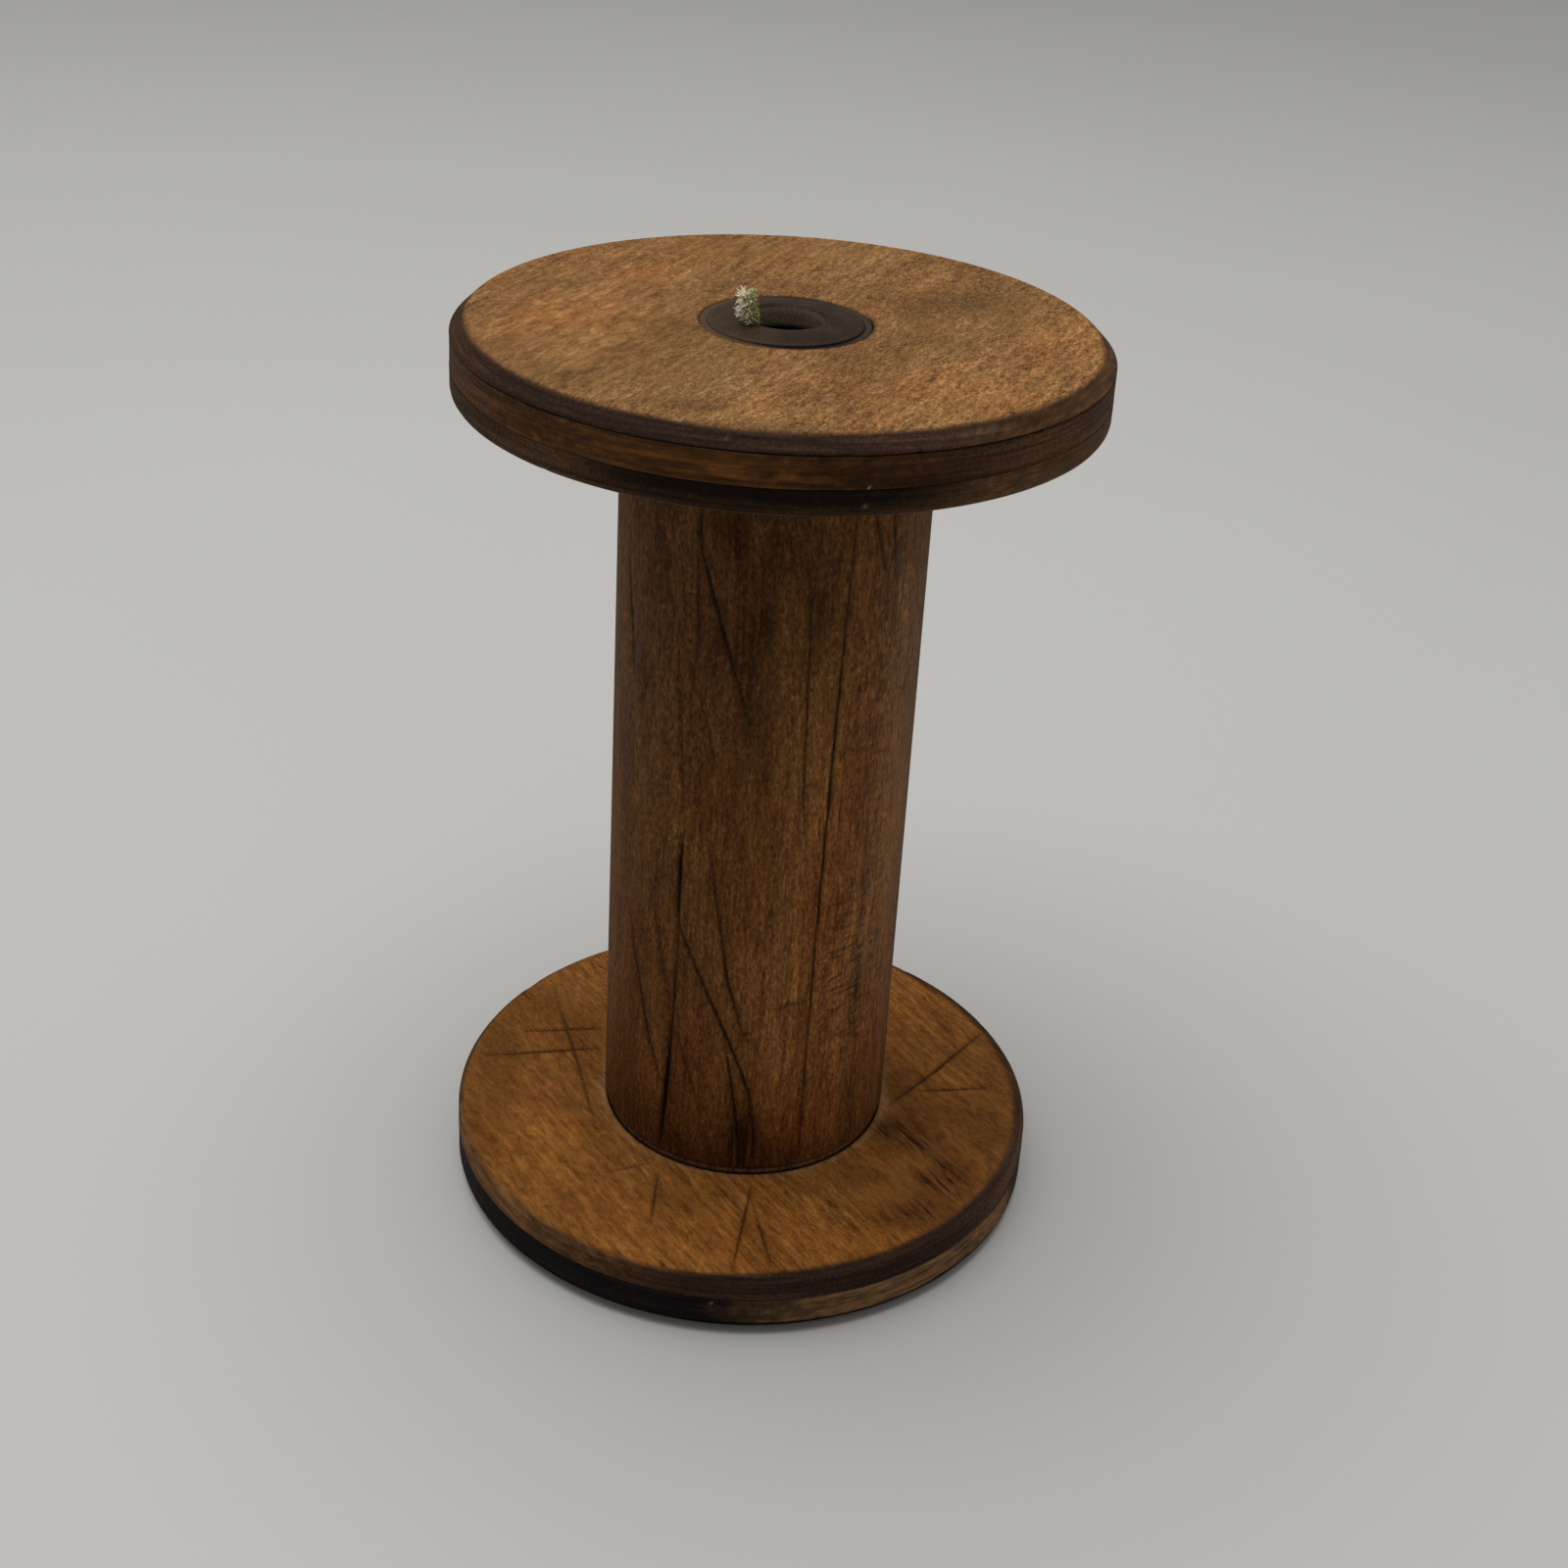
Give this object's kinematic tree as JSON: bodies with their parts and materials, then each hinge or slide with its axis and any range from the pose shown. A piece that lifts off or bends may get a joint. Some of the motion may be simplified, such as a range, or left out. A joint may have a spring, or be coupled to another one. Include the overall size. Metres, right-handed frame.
{
  "type": "textile mill bobbin",
  "caption": "Large wooden mill bobbin: turned barrel between laminated crossed-grain heads, with domed iron spindle bushes and a frayed tuft of yarn caught at the upper hole.",
  "frame": {"origin": "centre of the lower head's outer face, on which the bobbin stands", "axes": "+Z along the spindle axis towards the upper head, -Y towards the viewer, +X to the viewer's right"},
  "size_m": [0.1524, 0.1524, 0.2418],
  "materials": {
    "barrel_wood": "worn, hand-polished, knife-cut",
    "outer_ply_wood": "worn varnish, darkened bevel",
    "middle_ply_wood": "worn, dark end grain",
    "inner_ply_wood": "worn varnish, scuffed",
    "bush_iron": "dull, browned by handling",
    "yarn": "loose cream and pale green fibres"
  },
  "bodies": {
    "root": {"barrel": "barrel_wood", "upper_outer_ply": "outer_ply_wood", "upper_middle_ply": "middle_ply_wood", "upper_inner_ply": "inner_ply_wood", "lower_inner_ply": "inner_ply_wood", "lower_middle_ply": "middle_ply_wood", "lower_outer_ply": "outer_ply_wood", "upper_bush": "bush_iron", "lower_bush": "bush_iron", "yarn_tuft": "yarn"}
  },
  "joints": []
}
